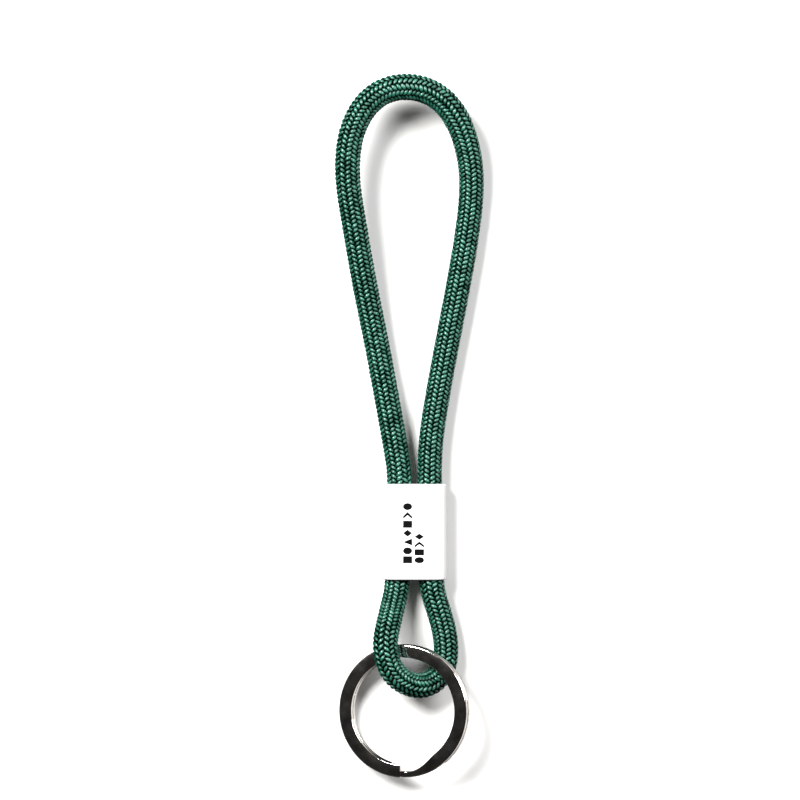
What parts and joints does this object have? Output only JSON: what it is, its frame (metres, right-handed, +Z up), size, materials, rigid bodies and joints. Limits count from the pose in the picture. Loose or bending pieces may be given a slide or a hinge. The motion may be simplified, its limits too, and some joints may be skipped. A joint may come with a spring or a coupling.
{
  "type": "key lanyard",
  "caption": "Short key lanyard: a braided cord doubled into a hand loop and a small loop, a flat two-part plastic clasp over both strands, and a steel split ring.",
  "frame": {"origin": "centre of the lanyard's footprint on the surface it lies on", "axes": "+Y along the lanyard from the split ring to the top of the hand loop, +Z up out of the clasp's front face, +X to the right seen from the front"},
  "size_m": [0.0357, 0.1687, 0.0129],
  "materials": {
    "clasp_plastic": "semi-gloss moulded white",
    "cord_sheath": "braided deep green filament yarn with a soft sheen",
    "cord_core": "straight filler yarns",
    "cord_end": "melted and set",
    "ring_steel": "polished"
  },
  "bodies": {
    "clasp": {"clasp_front_shell": "clasp_plastic", "clasp_back_shell": "clasp_plastic", "through_strand_sheath": "cord_sheath", "through_strand_core": "cord_core", "upper_tail_sheath": "cord_sheath", "upper_tail_core": "cord_core", "lower_tail_sheath": "cord_sheath", "lower_tail_core": "cord_core", "upper_end_seal": "cord_end", "lower_end_seal": "cord_end"},
    "hand_loop": {"hand_loop_sheath": "cord_sheath", "hand_loop_core": "cord_core"},
    "key_loop": {"key_loop_sheath": "cord_sheath", "key_loop_core": "cord_core"},
    "ring": {"split_ring": "ring_steel"}
  },
  "joints": [
    {"name": "hand_loop_bend", "type": "hinge", "parent": "clasp", "child": "hand_loop", "pos_m": [0.00125, -0.01085, 0.0037], "axis": [1, 0, 0], "range_deg": [-75, 75]},
    {"name": "key_loop_bend", "type": "hinge", "parent": "clasp", "child": "key_loop", "pos_m": [0.00125, -0.04045, 0.0037], "axis": [-1, 0, 0], "range_deg": [-75, 75]},
    {"name": "ring_turn", "type": "hinge", "parent": "key_loop", "child": "ring", "pos_m": [0.0016, -0.0687, 0.0068], "axis": [0, -1, 0], "range_deg": [0, 90]}
  ]
}
